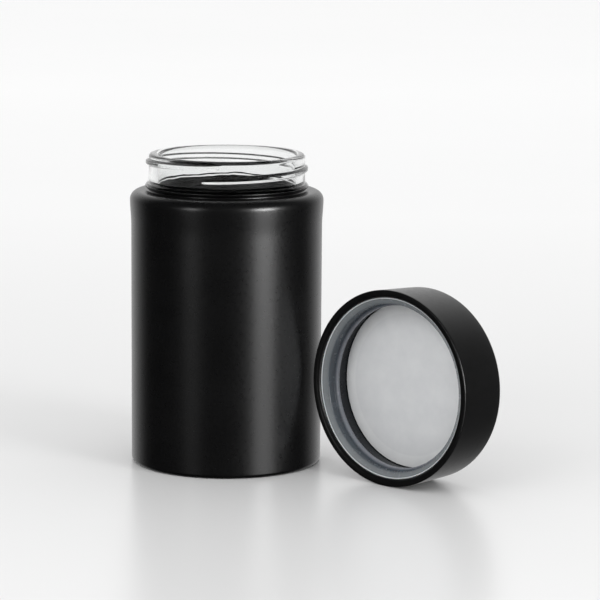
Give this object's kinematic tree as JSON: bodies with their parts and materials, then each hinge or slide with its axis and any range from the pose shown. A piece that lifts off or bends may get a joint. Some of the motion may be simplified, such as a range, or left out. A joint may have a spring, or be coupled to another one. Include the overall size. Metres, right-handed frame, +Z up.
{
  "type": "screw-lid candle jar",
  "caption": "Straight-sided clear glass jar, coated black, with a threaded neck and a black screw lid standing beside it.",
  "frame": {"origin": "centre of the jar's foot, on the surface that it stands on", "axes": "+Z up along the jar's own axis; +X towards the side where the lid stands; +Y away from the lid's open mouth"},
  "size_m": [0.1183, 0.0892, 0.101],
  "materials": {
    "clear_glass": "clear soda-lime glass, fire-polished rim",
    "black_coating": "matt sprayed coat, smooth, soft sheen",
    "black_plastic": "satin moulded plastic",
    "grey_insert": "translucent grey moulded plastic, satin",
    "liner_film": "dull polyethylene film with a faint mottle",
    "liner_foam": "closed-cell foam"
  },
  "bodies": {
    "jar": {"glass_jar": "clear_glass", "black_coating": "black_coating"},
    "liner": {"liner_foam": "liner_foam", "liner_face_film": "liner_film", "liner_back_film": "liner_film"},
    "lid": {"lid_shell": "black_plastic", "lid_insert": "grey_insert"}
  },
  "joints": [
    {"name": "lid_swing", "type": "hinge", "parent": "jar", "child": "liner", "pos_m": [0.02111, -0.0433, 0.07624], "axis": [-0.8211, -0.0556, -0.5681], "range_deg": [0, 238.56]},
    {"name": "lid_turn", "type": "hinge", "parent": "liner", "child": "lid", "pos_m": [0.05186, -0.03724, 0.03121], "axis": [0.6623, 0.7486, -0.0305], "continuous": true}
  ]
}
